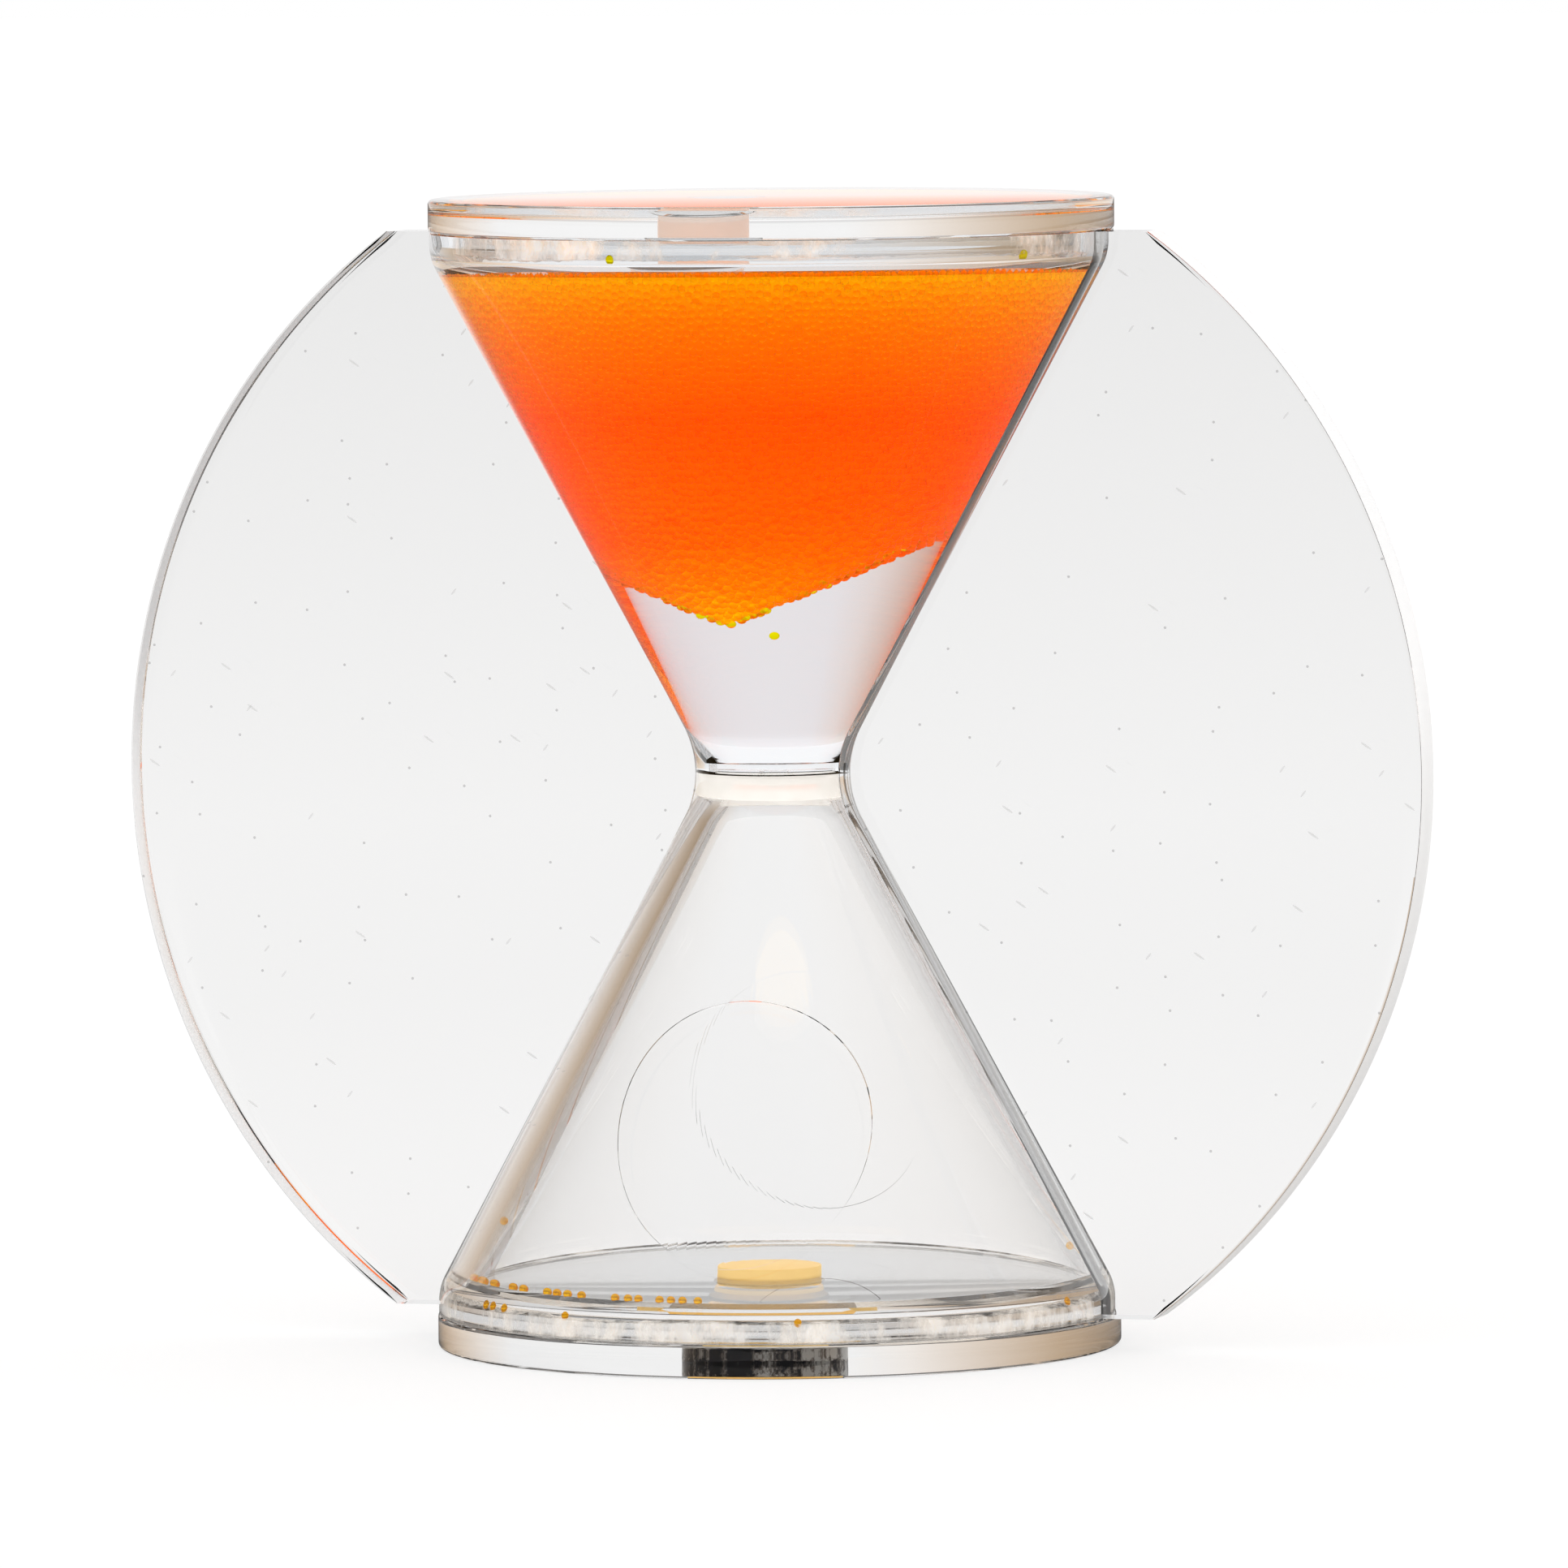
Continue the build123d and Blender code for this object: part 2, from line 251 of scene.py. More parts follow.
def new_material(name):
    """A node material with its nodes and links."""
    material = bpy.data.materials.new(name)
    material.use_nodes = True
    return material, material.node_tree.nodes, material.node_tree.links


def grey(level):
    """A grey colour."""
    return (level, level, level)


def put(links, value, socket):
    """Gives a socket a plain value, or links it to another node's output."""
    if isinstance(value, bpy.types.NodeSocket):
        links.new(value, socket)
    else:
        socket.default_value = value


def put_all(links, node, values):
    """Gives several named sockets of a node their values."""
    for name, value in values.items():
        put(links, value, node.inputs[name])


def object_spot(nodes, links, scale=(1, 1, 1), turn=(0, 0, 0)):
    """Object coordinates through a mapping."""
    spot = nodes.new("ShaderNodeTexCoord")
    place = nodes.new("ShaderNodeMapping")
    put_all(links, place, {"Scale": scale, "Rotation": turn, "Vector": spot.outputs["Object"]})
    return place.outputs["Vector"]


def object_axis(nodes, links, axis):
    """The X, Y or Z object coordinate."""
    split = nodes.new("ShaderNodeSeparateXYZ")
    links.new(object_spot(nodes, links), split.inputs[0])
    return split.outputs[axis]


def maths(nodes, links, operation, *values, clamp=False):
    """A math node over numbers and other nodes' outputs."""
    item = nodes.new("ShaderNodeMath")
    item.operation = operation
    item.use_clamp = clamp
    for value, socket in zip(values, item.inputs):
        put(links, value, socket)
    return item.outputs[0]


def map_range(nodes, links, value, start, end, low=0.0, high=1.0):
    """Goes from low to high while the value goes from start to end."""
    item = nodes.new("ShaderNodeMapRange")
    put_all(links, item, {"From Min": start, "From Max": end, "To Min": low, "To Max": high, "Value": value})
    return item.outputs[0]


def noise(nodes, links, vector, scale, detail=3.0, rough=0.5):
    """A noise pattern from 0 to 1."""
    pattern = nodes.new("ShaderNodeTexNoise")
    put_all(links, pattern, {"Scale": scale, "Detail": detail, "Roughness": rough, "Vector": vector})
    return pattern.outputs["Fac"]


def ramp(nodes, links, value, stops):
    """A colour ramp; stops are position and colour pairs."""
    item = nodes.new("ShaderNodeValToRGB")
    bar = item.color_ramp.elements
    bar[0].position, bar[0].color = stops[0][0], (*stops[0][1], 1)
    bar[1].position, bar[1].color = stops[-1][0], (*stops[-1][1], 1)
    for position, colour in stops[1:-1]:
        stop = bar.new(position)
        stop.color = (*colour, 1)
    links.new(value, item.inputs["Fac"])
    return item.outputs["Color"]


def mixed_colours(nodes, links, blend, share, first, second):
    """A mix of two colours; sockets 6 and 7 and output 2 are the colour ones."""
    item = nodes.new("ShaderNodeMix")
    item.data_type = "RGBA"
    item.blend_type = blend
    put(links, share, item.inputs["Factor"])
    put(links, first, item.inputs[6])
    put(links, second, item.inputs[7])
    return item.outputs[2]


def mixed_shaders(nodes, links, share, first, second):
    """The first shader where share is 0, the second where it is 1."""
    mix = nodes.new("ShaderNodeMixShader")
    links.new(share, mix.inputs["Fac"])
    links.new(first, mix.inputs[1])
    links.new(second, mix.inputs[2])
    return mix.outputs[0]


def height_share(nodes, links):
    """0 at the foot and 1 at the top of the timer."""
    return map_range(nodes, links, object_axis(nodes, links, "Z"), 0.0, HEIGHT)


def specks(nodes, links, cell, width, turn, length):
    """A mask of sparse small marks on the front of an upright plate; length is in widths."""
    place = nodes.new("ShaderNodeMapping")
    place.vector_type = "TEXTURE"
    flat = object_spot(nodes, links, turn=(math.pi / 2, 0, 0))
    put_all(links, place, {"Rotation": (0, 0, turn), "Scale": (length, 1, 1), "Vector": flat})
    cells = nodes.new("ShaderNodeTexVoronoi")
    cells.voronoi_dimensions = "2D"
    put_all(links, cells, {"Scale": 1 / cell, "Vector": place.outputs["Vector"]})
    split = nodes.new("ShaderNodeSeparateColor")
    links.new(cells.outputs["Color"], split.inputs[0])
    near = maths(nodes, links, "LESS_THAN", cells.outputs["Distance"], width / cell)
    half_of_them = maths(nodes, links, "GREATER_THAN", split.outputs["Red"], 0.5)
    front = maths(nodes, links, "LESS_THAN", object_axis(nodes, links, "Y"), 0.0)
    mask = maths(nodes, links, "MULTIPLY", near, half_of_them)
    return maths(nodes, links, "MULTIPLY", mask, front)


def add_marks(nodes, links, shader, mask, colour, strength):
    """Puts dust or scratches of a colour over a shader."""
    dust = nodes.new("ShaderNodeBsdfDiffuse")
    dust.inputs["Color"].default_value = (*colour, 1)
    weight = maths(nodes, links, "MULTIPLY", mask, strength)
    return mixed_shaders(nodes, links, weight, shader, dust.outputs[0])


# Materials

def clear(name, ior, low_tint=0.97, high_tint=0.98, dusty=False, gloss=(1, 1, 1)):
    """Polished clear acrylic of one index, its tint going from the foot to the top; a tint that grows darker
    towards the top is painted shade, and a gloss colour other than white paints a tint into its reflections.
    """
    material, nodes, links = new_material(name)
    shader = nodes["Principled BSDF"]
    tint = ramp(nodes, links, height_share(nodes, links), [(0.0, grey(low_tint)), (1.0, grey(high_tint))])
    # A gloss other than white is a painted reflection colour: it tints what the surface mirrors.
    put_all(links, shader, {"Base Color": tint, "Roughness": 0.0, "IOR": ior, "Transmission Weight": 1.0,
                            "Specular Tint": (*gloss, 1)})
    if dusty:
        out = shader.outputs[0]
        for cell, width, turn, length, level, strength in DUST_AND_HAIRS:
            marks = specks(nodes, links, cell, width, turn, length)
            out = add_marks(nodes, links, out, marks, grey(level), strength)
        links.new(out, nodes["Material Output"].inputs["Surface"])
    return material


def satin(name):
    """Machined edge of a plate: it scatters light, and a painted glow from its white emission lightens it
    further, so it looks white.
    """
    material, nodes, links = new_material(name)
    lines = noise(nodes, links, object_spot(nodes, links), 700.0)
    # The white emission is a painted glow that lightens the edge; the edge is no lamp. The fine noise is
    # machining lines.
    put_all(links, nodes["Principled BSDF"], {
        "Base Color": ramp(nodes, links, lines, [(0.3, grey(0.93)), (0.7, grey(0.99))]),
        "Roughness": 0.35, "IOR": ACRYLIC_IOR, "Transmission Weight": 0.4,
        "Emission Color": (1, 1, 1, 1), "Emission Strength": 0.35})
    return material


def unseen(name):
    """The body of the liquid: its edges are carried by the walls that it wets."""
    material, nodes, links = new_material(name)
    nodes.remove(nodes["Principled BSDF"])
    clear_body = nodes.new("ShaderNodeBsdfTransparent")
    links.new(clear_body.outputs[0], nodes["Material Output"].inputs["Surface"])
    return material


def bead_material(name, ior, rough, colour, glow=0.0):
    """Translucent orange bead, a little different from bead to bead; any glow given to it is a painted glow of
    orange emission.
    """
    material, nodes, links = new_material(name)
    vary = noise(nodes, links, object_spot(nodes, links), 900.0, 1.0)
    dark = (colour[0] * 0.98, colour[1] * 0.85, colour[2] * 0.5)
    light = (1.0, min(1.0, colour[1] * 1.2), colour[2] * 2)
    shader = nodes["Principled BSDF"]
    put_all(links, shader, {"Base Color": ramp(nodes, links, vary, [(0.3, dark), (0.7, light)]),
                            "Roughness": rough, "IOR": ior, "Transmission Weight": 1.0})
    # Painted light: an orange emission makes the bead glow though it is no lamp.
    if glow:
        put_all(links, shader, {"Emission Color": (1.0, 0.3, 0.0, 1), "Emission Strength": glow})
    return material


def bead_core_material():
    """Inside of the bead mass: it scatters and takes out blue and green with depth. Its faint glow is painted
    light, yellower near its top and its lower face, where light falls in, and deeper orange in between.
    """
    material, nodes, links = new_material("packed orange beads")
    # Painted light: the glow is yellower near the top and the bottom of the mass, where light falls in, and
    # deeper orange in between.
    glow = ramp(nodes, links, height_share(nodes, links), [
        (0.64, (1.0, 0.5, 0.0)), (0.71, (1.0, 0.16, 0.0)), (0.82, (1.0, 0.12, 0.0)), (0.95, (1.0, 0.6, 0.0))])
    bump = nodes.new("ShaderNodeBump")
    grain = noise(nodes, links, object_spot(nodes, links), 1100.0, 1.0)
    put_all(links, bump, {"Strength": 0.5, "Distance": 0.2 * MM, "Height": grain})
    put_all(links, nodes["Principled BSDF"], {
        "Base Color": (1.0, 0.92, 0.0, 1), "Roughness": 0.55, "IOR": 1.12, "Transmission Weight": 1.0,
        "Emission Color": glow, "Emission Strength": 0.3, "Normal": bump.outputs[0]})
    depth = nodes.new("ShaderNodeVolumeAbsorption")
    put_all(links, depth, {"Color": (1.0, 0.82, 0.0, 1), "Density": 300.0})
    links.new(depth.outputs[0], nodes["Material Output"].inputs["Volume"])
    return material


def cement_material(name, ior, cover, light, dark, grain):
    """Cured cement: clear in places, frosted with fine bubbles in others, the frost lightened by a painted
    glow of warm white emission.
    """
    material, nodes, links = new_material(name)
    shader = nodes["Principled BSDF"]
    put_all(links, shader, {"Roughness": 0.05, "IOR": ior, "Transmission Weight": 1.0})
    spot = object_spot(nodes, links, (1, 1, 0.6))
    fine = noise(nodes, links, spot, grain, 5.0, 0.7)
    # The frost's warm white emission is a painted glow: the cement is no lamp. Its light and dark tones vary
    # at random.
    frost = nodes.new("ShaderNodeBsdfPrincipled")
    put_all(links, frost, {
        "Base Color": ramp(nodes, links, fine, [(0.35, dark), (0.6, light)]),
        "Roughness": 0.35, "IOR": 1.08, "Transmission Weight": 0.5,
        "Emission Color": (1.0, 0.95, 0.88, 1), "Emission Strength": 0.3})
    patches = noise(nodes, links, spot, grain / 5, 4.0, 0.65)
    mask = ramp(nodes, links, patches, [(cover - 0.06, grey(0.0)), (cover + 0.06, grey(1.0))])
    out = mixed_shaders(nodes, links, mask, shader.outputs[0], frost.outputs[0])
    links.new(out, nodes["Material Output"].inputs["Surface"])
    return material


def silvery_material():
    """The cement plug in the foot: silver with black pits, paler towards its upper end."""
    material, nodes, links = new_material("pitted silvery cement")
    blots = noise(nodes, links, object_spot(nodes, links, (0.5, 0.5, 2.2)), 900.0, 6.0, 0.75)
    rise = map_range(nodes, links, object_axis(nodes, links, "Z"), 0.0, 1.2 * MM, -0.05, 0.2)
    black, brown, silver = (0.005, 0.005, 0.012), (0.3, 0.26, 0.23), (0.95, 0.93, 0.88)
    colour = ramp(nodes, links, maths(nodes, links, "ADD", blots, rise),
                  [(0.44, black), (0.49, brown), (0.54, silver)])
    put_all(links, nodes["Principled BSDF"], {"Base Color": colour, "Metallic": 0.2, "Roughness": 0.3})
    return material


def rubber_material(name, colour, glow, glow_colour, seen_above=None):
    """Matt stopper with a faint mottle and a painted glow of emission; it may be unseen below a height, as its
    buried end is.
    """
    material, nodes, links = new_material(name)
    vary = noise(nodes, links, object_spot(nodes, links), 500.0, 3.0)
    low = tuple(0.93 * c for c in colour)
    shader = nodes["Principled BSDF"]
    # The emission is a painted glow that lightens the stopper; the stopper is no lamp.
    put_all(links, shader, {"Base Color": ramp(nodes, links, vary, [(0.3, low), (0.7, colour)]),
                            "Roughness": 0.45, "Emission Color": (*glow_colour, 1), "Emission Strength": glow})
    if seen_above:
        seen = maths(nodes, links, "GREATER_THAN", object_axis(nodes, links, "Z"), seen_above)
        hidden = nodes.new("ShaderNodeBsdfTransparent")
        out = mixed_shaders(nodes, links, seen, hidden.outputs[0], shader.outputs[0])
        links.new(out, nodes["Material Output"].inputs["Surface"])
    return material


acrylic = clear("clear acrylic", ACRYLIC_IOR)
# Its reflections are painted orange, a painted reflection colour that keeps the beads behind the wall
# saturated.
bead_side_acrylic = clear("clear acrylic, reflections painted bead orange", ACRYLIC_IOR, gloss=(0.9, 0.5, 0.0))
# The plate's tint grows darker towards the top: painted shade, standing in for the grey upper backdrop seen
# through it. The specks are dust and hairs.
wing_acrylic = clear("clear acrylic plate with dust", ACRYLIC_IOR, 0.95, 0.81, dusty=True)
satin_edge_with_painted_glow = satin("acrylic, satin edge with painted glow")
wetted = clear("acrylic against liquid", ACRYLIC_IOR / LIQUID_IOR)
pool_surface = clear("surface of the pool", LIQUID_IOR)
liquid_body = unseen("clear liquid")
sunk_bead = bead_material("orange bead in liquid", 1.08, 0.3, (1.0, 0.94, 0.0))
# The beads in air get a faint painted orange glow.
dry_bead = bead_material("orange bead in air", 1.45, 0.15, (0.95, 0.5, 0.0), 0.06)
# The packed beads carry a painted glow, yellower where light falls in at the top and the heap.
packed_beads = bead_core_material()
cap_cement = cement_material(
    "cement round the spigot", 1.04, 0.53, (0.99, 0.97, 0.94), (0.8, 0.72, 0.64), 1100.0)
# The orange in this cement's frost is a painted reflection of the orange beads under it.
top_cement = cement_material(
    "cement under the top cap", 1.04, 0.56, (1.0, 0.93, 0.86), (1.0, 0.62, 0.36), 900.0)
clear_cement = cement_material(
    "clear cement", 1.03, 0.72, (0.92, 0.88, 0.84), (0.7, 0.66, 0.62), 500.0)
neck_cement = cement_material(
    "pale cement of the neck", 1.03, 0.35, (0.97, 0.97, 0.96), (0.88, 0.87, 0.85), 500.0)
silvery = silvery_material()
# Both stoppers have a painted glow from their emission.
tan_rubber = rubber_material("tan rubber", (0.95, 0.68, 0.28), 0.5, (1.0, 0.62, 0.16), seen_above=4.7 * MM)
pink_rubber = rubber_material("pale pink stopper", (1.0, 0.85, 0.78), 0.4, (1.0, 0.86, 0.76))


# Pieces of the shell

def cut_dimples(piece):
    """Cuts the round pads of shallow depth into the front and back of the lower cone."""
    reach = 1.3 * DIMPLE_RADIUS
    inset = DIMPLE_DEPTH / math.cos(CONE_ANGLE)
    ends = [(OUTER_APEX - inset + CONE_RISE * z, MID - z)
            for z in (MID - DIMPLE_HEIGHT - reach, MID - DIMPLE_HEIGHT + reach)]
    inner = [ends[0]] + straight(ends[0], ends[1], 12)
    skin = placed("skin", mesh_of("skin", turned(inner + [(r + 2 * inset, z) for r, z in reversed(inner)])))
    bm = bmesh.new()
    bmesh.ops.create_cone(bm, cap_ends=True, segments=128, radius1=DIMPLE_RADIUS, radius2=DIMPLE_RADIUS,
                          depth=2 * CAP_RADIUS)
    bmesh.ops.rotate(bm, verts=bm.verts, cent=(0, 0, 0), matrix=Matrix.Rotation(math.pi / 2, 3, "X"))
    bmesh.ops.rotate(bm, verts=bm.verts, cent=(0, 0, 0), matrix=Matrix.Rotation(DIMPLE_TURN, 3, "Z"))
    bmesh.ops.translate(bm, verts=bm.verts, vec=(0, 0, DIMPLE_HEIGHT))
    combine(skin, placed("round", mesh_of("round", bm)), "INTERSECT")
    combine(piece, skin, "DIFFERENCE")


def funnel(name, side):
    """One funnel, side 1 for the upper and -1 for the lower."""
    bore_end = (BORE_RADIUS - INNER_APEX) / CONE_RISE
    knee = (MOUTH_RADIUS - INNER_APEX) / CONE_RISE
    waterline = MID - POOL_LEVEL - MENISCUS
    inside = [(MOUTH_RADIUS, SEAM), (MOUTH_RADIUS, knee)]
    if side < 0:
        inside += straight(inside[-1], (inner_radius(waterline), waterline), 4)
    inside += straight(inside[-1], (BORE_RADIUS, bore_end))
    inside += [(BORE_RADIUS, 0.0)]
    bm = turned([(r, MID + side * z) for r, z in outer_profile() + inside])
    near_inside = 0.3 * MM
    for face in bm.faces:
        centre = face.calc_center_median()
        r = math.hypot(centre.x, centre.y)
        z = abs(centre.z - MID)
        wet = z < knee if side > 0 else z > waterline
        if r < inner_radius(z) + near_inside and wet and z < SEAM - SAME:
            face.material_index = 1
    return new_object(name, bm, [bead_side_acrylic if side > 0 else acrylic, wetted])


def wing(name, side):
    """A flat plate; its outer edge is a circle, its inner edge sits a little inside the funnel wall."""
    half = WING_THICKNESS / 2
    bm = bmesh.new()
    bmesh.ops.create_grid(bm, x_segments=24, y_segments=120, size=0.5)
    for vert in bm.verts:
        z = 2 * SEAM * vert.co.y
        inner = math.sqrt(outer_radius(z) ** 2 - half ** 2) - WING_LAP
        outer = math.sqrt(WING_RADIUS ** 2 - z ** 2)
        vert.co = (side * (inner + (outer - inner) * (vert.co.x + 0.5)), -half, MID + z)
    grown = bmesh.ops.extrude_face_region(bm, geom=bm.faces[:] + bm.edges[:] + bm.verts[:])
    far = [item for item in grown["geom"] if isinstance(item, bmesh.types.BMVert)]
    bmesh.ops.translate(bm, verts=far, vec=(0, WING_THICKNESS, 0))
    bmesh.ops.recalc_face_normals(bm, faces=bm.faces)
    rims = []
    for edge in bm.edges:
        reach = min(math.hypot(v.co.x, v.co.z - MID) for v in edge.verts)
        level = abs(edge.verts[0].co.y - edge.verts[1].co.y) < SAME
        outside = reach > WING_RADIUS - 0.01 * MM
        if level and outside and len(edge.link_faces) == 2 and edge.calc_face_angle() > 1.0:
            rims.append(edge)
    bmesh.ops.bevel(bm, geom=rims, offset=WING_BEVEL, segments=4, affect="EDGES", profile=0.5, material=-1)
    for face in bm.faces:
        centre = face.calc_center_median()
        outside = math.hypot(centre.x, centre.z - MID) > WING_RADIUS - 0.2 * MM
        if outside and abs(centre.y) < half - WING_BEVEL - 0.01 * MM:
            face.material_index = 1
    return new_object(name, bm, [wing_acrylic, satin_edge_with_painted_glow], flat_y=True)


def cap(name, side):
    """End disc with its spigot."""
    floor_level = MID - FLOOR
    seam = SEAM - FIT
    rim = CAP_RADIUS - CAP_EDGE
    profile = [(0.0, MID)]
    profile += arc((rim, MID - CAP_EDGE), CAP_EDGE, math.pi / 2, 0, 4)
    profile += arc((rim, seam + CAP_EDGE), CAP_EDGE, 0, -math.pi / 2, 4)
    profile += [(SPIGOT_RADIUS, seam), (SPIGOT_RADIUS, floor_level + SPIGOT_CHAMFER)]
    profile += [(SPIGOT_RADIUS - SPIGOT_CHAMFER, floor_level), (0.0, floor_level)]
    bm = turned([(r, MID + side * z) for r, z in profile], closed=False)
    for face in bm.faces:
        if all(abs(abs(v.co.z - MID) - floor_level) < SAME for v in face.verts):
            face.material_index = 1
    return new_object(name, bm, [acrylic, wetted])


def orifice_disc():
    """The thin disc across the bore, wetted on top, with the flow hole."""
    reach = BORE_RADIUS - FIT
    low, top = MID - DISC_HALF, MID + DISC_HALF
    bm = turned([(ORIFICE_RADIUS, low), (reach, low), (reach, top), (ORIFICE_RADIUS, top)], steps=96)
    for face in bm.faces:
        if face.normal.z > 0.9:
            face.material_index = 1
    return new_object("orifice_plate", bm, [acrylic, wetted])


def cap_bond(name, side, material):
    """Cement ring between spigot and mouth, its inner end wavy and mottled."""
    inner, outer = SPIGOT_RADIUS + FIT, MOUTH_RADIUS - FIT
    start, end = SEAM - 0.05 * MM, SEAM - 1.6 * MM
    profile = [(inner, start), (outer, start)] + straight((outer, start), (outer, end), 3) + [(inner, end)]
    profile += straight((inner, end), (inner, start), 3)[:-1]
    bm = turned([(r, side * z) for r, z in profile], steps=360)
    for vert in bm.verts:
        if abs(abs(vert.co.z) - end) < SAME:
            angle = math.atan2(vert.co.y, vert.co.x)
            wave = 0.12 * math.sin(3 * angle + side) + 0.06 * math.sin(11 * angle) + jitter(0.05)
            vert.co.z -= side * wave * MM
        vert.co.z += MID
    return new_object(name, bm, [material], sharp=50)


def neck_bond():
    """Cement between the sleeve and the socket of the neck, with a small lip under the sleeve."""
    top, foot = MID - FIT, MID - SOCKET_DEPTH
    lip = foot + 0.1 * MM
    lip_radius = SLEEVE_RADIUS - 0.2 * MM
    profile = [(SLEEVE_RADIUS, top), (SOCKET_RADIUS, top), (SOCKET_RADIUS, foot), (lip_radius, foot),
               (lip_radius, lip), (SLEEVE_RADIUS, lip)]
    return new_object("neck_cement", turned(profile, steps=96), [neck_cement], sharp=50)


def pool():
    """The shallow pool on the lower floor, its rim drawn up the wall."""
    gap = 0.01 * MM
    waterline = POOL_LEVEL + MENISCUS
    wall = inner_radius(MID - waterline) - gap
    start = wall - 5 * MM
    climb = 0.8 * MM
    tail = math.exp((start - wall) / climb)
    top = [(0.0, POOL_LEVEL)] + straight((0.0, POOL_LEVEL), (start, POOL_LEVEL), 6)
    for i in range(1, 25):
        r = start + (wall - start) * i / 24
        rise = (math.exp((r - wall) / climb) - tail) / (1 - tail)
        top.append((r, POOL_LEVEL + MENISCUS * rise))
    low = FLOOR + gap
    bm = turned(top + [(inner_radius(MID - FLOOR) - gap, low), (0.0, low)], closed=False)
    for face in bm.faces:
        if face.normal.z > 0.3:
            face.material_index = 1
    return new_object("pool", bm, [liquid_body, pool_surface], sharp=40)


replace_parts(funnel("upper_funnel_wall", 1), "upper_funnel")
lower_wall = funnel("lower_funnel_wall", -1)
cut_dimples(lower_wall)
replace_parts(lower_wall, "lower_funnel")
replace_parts(wing("left_wing_plate", -1), "left_wing")
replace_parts(wing("right_wing_plate", 1), "right_wing")
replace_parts(cap("upper_cap_disc", 1), "upper_cap")
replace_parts(cap("lower_cap_disc", -1), "lower_cap")
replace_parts(orifice_disc(), "orifice_disc")
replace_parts(cap_bond("upper_cap_cement", 1, top_cement), "upper_cap_bond")
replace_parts(cap_bond("lower_cap_cement", -1, cap_cement), "lower_cap_bond")
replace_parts(neck_bond(), "neck_bond")
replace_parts(pool(), "liquid_lower")


# Stoppers

def stopper(name, node, material):
    """A round stopper that fills a node's box, a hair smaller."""
    low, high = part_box(node)
    radius = (high[0] - low[0]) / 2 - STOPPER_INSET
    bm = post(radius, low[2] + STOPPER_INSET, high[2] - STOPPER_INSET, middle(node)[0])
    piece = new_object(name, bm, [material])
    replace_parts(piece, node)


stopper("foot_stopper", "lower_plug", tan_rubber)
stopper("foot_cement", "lower_plug_seal", silvery)
stopper("top_stopper", "upper_plug", pink_rubber)
stopper("top_cement", "upper_plug_seal", clear_cement)


# Beads

def bead_cluster(name, places, material, rounds, body="timer", radius=BEAD_RADIUS):
    """Many beads in one piece: one ball is moved from place to place and added each time."""
    bm = bmesh.new()
    bmesh.ops.create_icosphere(bm, subdivisions=rounds, radius=radius)
    ball = mesh_of("ball", bm)
    at = Vector((0, 0, 0))
    bm = bmesh.new()
    for place in places:
        ball.transform(Matrix.Translation(place - at))
        at = place
        bm.from_mesh(ball)
    bpy.data.meshes.remove(ball)
    return new_object(name, bm, [material], body, sharp=180)


def wall_places():
    """Beads of the layer that lies against the upper wall."""
    top = HEIGHT - FLOOR - BEAD_RADIUS
    places = []
    z = HEAP_POINT.z
    while z < top:
        r = inner_radius(z - MID) - 1.02 * BEAD_RADIUS / math.cos(CONE_ANGLE)
        count = int(2 * math.pi * r / BEAD_PITCH)
        first = random.random()
        for i in range(count):
            angle = 2 * math.pi * (i + first + jitter(0.2)) / count
            height = z + jitter(0.22 * MM)
            away = r - abs(jitter(0.1 * MM))
            x, y = away * math.cos(angle), away * math.sin(angle)
            if height > heap_height(x, y) + BEAD_RADIUS:
                places.append(Vector((x, y, height)))
        z += BEAD_PITCH * ROW_STEP * math.cos(CONE_ANGLE)
    return places


def sheet_places(level, limit, spread):
    """Beads of a layer over the chamber; the level is a function of the place."""
    places = []
    rows = int(limit / (BEAD_PITCH * ROW_STEP))
    for j in range(-rows, rows + 1):
        for i in range(-rows, rows + 1):
            x = (i + 0.5 * (j % 2)) * BEAD_PITCH + jitter(0.1 * MM)
            y = j * BEAD_PITCH * ROW_STEP + jitter(0.1 * MM)
            z = level(x, y) + jitter(spread)
            if math.hypot(x, y) < inner_radius(z - MID) - BEAD_RADIUS / math.cos(CONE_ANGLE):
                places.append(Vector((x, y, z)))
    return places


def bead_core():
    """The inside of the bead mass, half a bead within its outer layer."""
    skin = 0.45 * MM
    reach = 60 * MM
    point = (0.0, HEAP_POINT.z)
    slope = straight(point, (reach, HEAP_POINT.z + HEAP_RISE * reach), 120)
    bm = turned([point] + slope + [(reach, 2 * HEIGHT), (0.0, 2 * HEIGHT)], closed=False, steps=128)
    bmesh.ops.translate(bm, verts=bm.verts, vec=(HEAP_POINT.x, 0, skin))
    heap = placed("heap", mesh_of("heap", bm))
    base, top = HEAP_POINT.z - 2 * MM, HEIGHT - FLOOR - skin
    foot = (inner_radius(base - MID) - skin, base)
    wall = [foot] + straight(foot, (inner_radius(top - MID) - skin, top), 60)
    bm = turned([(0.0, base)] + wall + [(0.0, top)], closed=False)
    core = new_object("bead_mass_core", bm, [packed_beads], sharp=30)
    combine(core, heap, "INTERSECT")
    return core


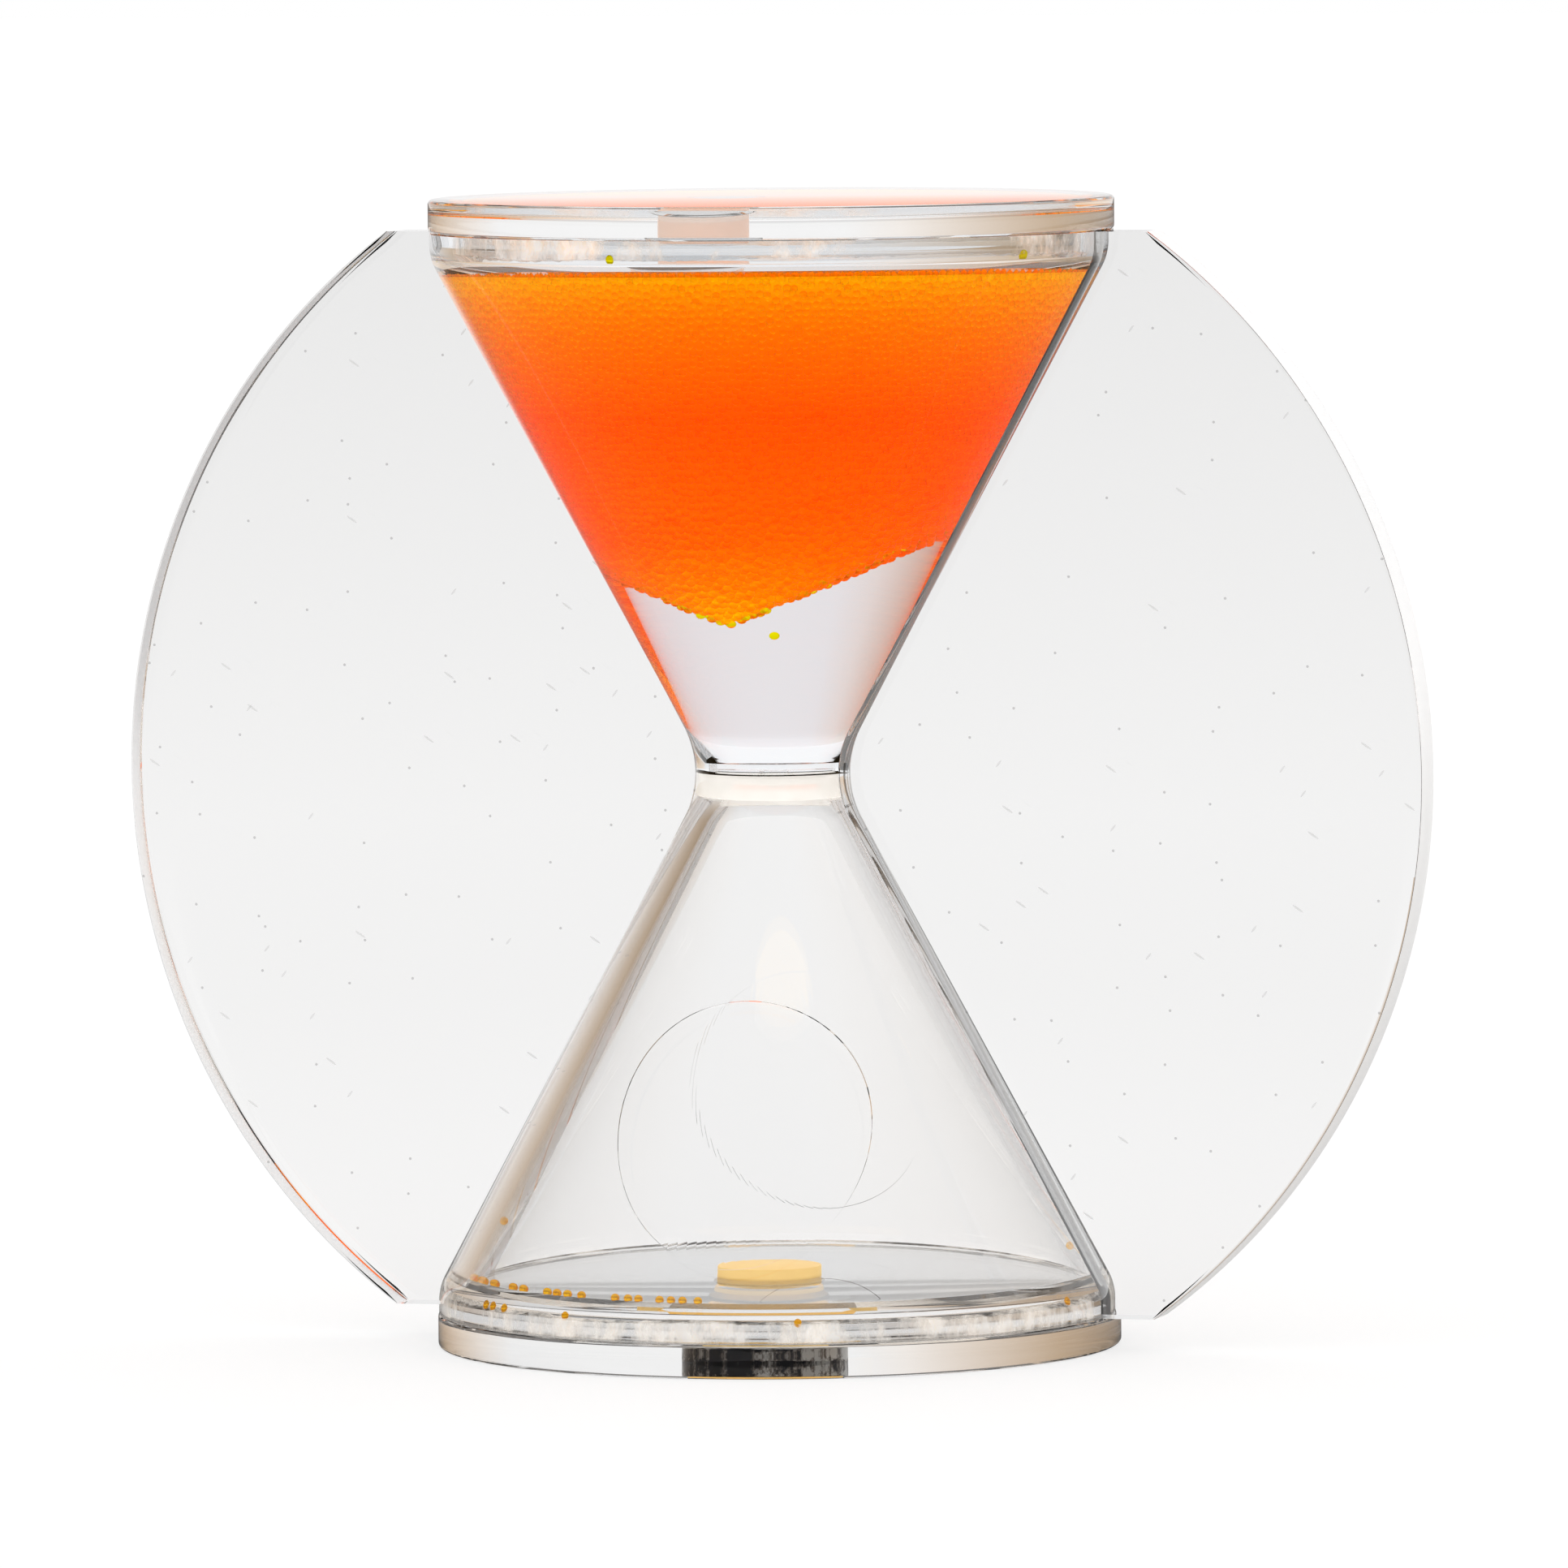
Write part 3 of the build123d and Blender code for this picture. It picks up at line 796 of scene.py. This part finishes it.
def island_middles(node):
    """Middles of the separate balls of a node."""
    bm = bmesh.new()
    bm.from_mesh(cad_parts[node].data)
    bmesh.ops.remove_doubles(bm, verts=bm.verts, dist=SAME)
    left = set(bm.verts)
    middles = []
    while left:
        front = [left.pop()]
        island = []
        while front:
            vert = front.pop()
            island.append(vert.co.copy())
            for edge in vert.link_edges:
                other = edge.other_vert(vert)
                if other in left:
                    left.remove(other)
                    front.append(other)
        low = [min(co[k] for co in island) for k in range(3)]
        high = [max(co[k] for co in island) for k in range(3)]
        middles.append(Vector([(a + b) / 2 for a, b in zip(low, high)]))
    bm.free()
    return sorted(middles, key=lambda v: (v.x, v.y, v.z))


core = bead_core()
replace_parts(core, "bead_charge")
bead_cluster("wall_layer_beads", wall_places(), sunk_bead, 1)
top_layer = sheet_places(lambda x, y: HEIGHT - FLOOR - 1.05 * BEAD_RADIUS, 30 * MM, 0.02 * MM)
bead_cluster("top_layer_beads", top_layer, sunk_bead, 1)
heap_layer = sheet_places(lambda x, y: heap_height(x, y) + BEAD_RADIUS, 22 * MM, 0.25 * MM)
bead_cluster("heap_beads", heap_layer, sunk_bead, 2)
for node, material, radius in (("upper_gap_beads", sunk_bead, GAP_BEAD_RADIUS),
                               ("lower_gap_beads", dry_bead, GAP_BEAD_RADIUS),
                               ("lower_wall_beads", dry_bead, BEAD_RADIUS)):
    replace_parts(bead_cluster(node.replace("_", "-") + "-round", island_middles(node), material, 3, radius=radius), node)
riser = bead_cluster("riser", [Vector(middle("rising_bead"))], sunk_bead, 3, body="rising_bead")
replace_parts(riser, "rising_bead")

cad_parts["liquid_upper"].data.materials[0] = liquid_body


# Camera, floor and light

def camera():
    """The camera at its fitted place: turned round the timer's axis, above it and looking slightly down."""
    data = bpy.data.cameras.new("camera")
    data.sensor_width = 36.0
    data.lens = FOCAL_LENGTH / PICTURE_WIDTH * data.sensor_width
    data.clip_start = 0.01
    data.clip_end = 20.0
    item = placed("camera", data)
    forward = Vector((math.sin(YAW), math.cos(YAW), 0.0))
    right = Vector((math.cos(YAW), -math.sin(YAW), 0.0))
    up = Vector((0, 0, 1))
    down_forward = math.cos(PITCH) * forward - math.sin(PITCH) * up
    tilted_up = math.cos(PITCH) * up + math.sin(PITCH) * forward
    rolled_right = math.cos(ROLL) * right + math.sin(ROLL) * tilted_up
    rolled_up = math.cos(ROLL) * tilted_up - math.sin(ROLL) * right
    turn = Matrix.Rotation(CAMERA_TURN, 3, "Z")
    axes = Matrix([turn @ rolled_right, turn @ rolled_up, -(turn @ down_forward)]).transposed()
    place = turn @ Vector((0.0, -CAMERA_DISTANCE, CAMERA_HEIGHT))
    item.matrix_world = Matrix.Translation(place) @ axes.to_4x4()
    bpy.context.scene.camera = item


def floor():
    """A plain pale floor, darker for mirrored light that reaches it close to the timer, or directly."""
    bm = bmesh.new()
    bmesh.ops.create_grid(bm, x_segments=1, y_segments=1, size=8.0)
    bmesh.ops.translate(bm, verts=bm.verts, vec=(0, 0, -FLOOR_DROP))
    material, nodes, links = new_material("white floor")
    nodes.remove(nodes["Principled BSDF"])
    matt = nodes.new("ShaderNodeBsdfDiffuse")
    matt.inputs["Color"].default_value = (*grey(0.35), 1)
    glow = nodes.new("ShaderNodeEmission")
    put_all(links, glow, {"Color": (1, 1, 1, 1), "Strength": 0.7})
    bright = nodes.new("ShaderNodeAddShader")
    links.new(matt.outputs[0], bright.inputs[0])
    links.new(glow.outputs[0], bright.inputs[1])
    dark = nodes.new("ShaderNodeBsdfDiffuse")
    dark.inputs["Color"].default_value = (*grey(0.25), 1)
    reach = nodes.new("ShaderNodeVectorMath")
    reach.operation = "LENGTH"
    links.new(object_spot(nodes, links), reach.inputs[0])
    close = map_range(nodes, links, reach.outputs["Value"], 0.7, 0.4)
    path = nodes.new("ShaderNodeLightPath").outputs
    mirrored = maths(nodes, links, "MULTIPLY_ADD", path["Glossy Depth"], close, path["Is Reflection Ray"],
                     clamp=True)
    out = mixed_shaders(nodes, links, mirrored, bright.outputs[0], dark.outputs[0])
    links.new(out, nodes["Material Output"].inputs["Surface"])
    new_object("floor", bm, [material], body=None)


def surroundings():
    """A white studio, plain white for the camera and for matt surfaces. For the rest it is darker behind
    the camera and at the left, warm at both sides, and dimmer in mirrored light, but not behind the timer."""
    world = bpy.data.worlds.new("studio")
    bpy.context.scene.world = world
    world.use_nodes = True
    nodes, links = world.node_tree.nodes, world.node_tree.links
    spot = nodes.new("ShaderNodeTexCoord")
    split = nodes.new("ShaderNodeSeparateXYZ")
    links.new(spot.outputs["Generated"], split.inputs[0])
    x, y, z = split.outputs["X"], split.outputs["Y"], split.outputs["Z"]
    tall = ramp(nodes, links, z, [(0.0, grey(0.97)), (0.12, grey(0.92)), (0.3, grey(0.8)),
                                  (0.5, grey(0.75)), (0.75, grey(1.0)), (1.0, grey(1.1))])
    front = map_range(nodes, links, y, -0.3, -0.9, 1.0, 0.6)
    left = map_range(nodes, links, x, -0.5, -1.0, 1.0, 0.5)
    aside = maths(nodes, links, "ABSOLUTE", x)
    warm = ramp(nodes, links, aside, [(0.4, grey(1.0)), (0.85, (0.92, 0.68, 0.46))])
    path = nodes.new("ShaderNodeLightPath").outputs
    behind = map_range(nodes, links, y, 0.6, 0.9)
    mirrored = maths(nodes, links, "SUBTRACT", path["Is Reflection Ray"], behind, clamp=True)
    dim = map_range(nodes, links, mirrored, 0.0, 1.0, 1.0, 0.35)
    shade = tall
    for value in (front, left, warm, dim):
        shade = mixed_colours(nodes, links, "MULTIPLY", 1.0, shade, value)
    plain = maths(nodes, links, "ADD", path["Is Camera Ray"], path["Diffuse Depth"], clamp=True)
    colour = mixed_colours(nodes, links, "MIX", plain, shade, (1, 1, 1, 1))
    links.new(colour, nodes["Background"].inputs["Color"])


camera()
floor()
surroundings()
scene = bpy.context.scene
scene.view_settings.view_transform = "Standard"
scene.cycles.max_bounces = 40
scene.cycles.transmission_bounces = 40
scene.cycles.transparent_max_bounces = 40
scene.cycles.glossy_bounces = 16
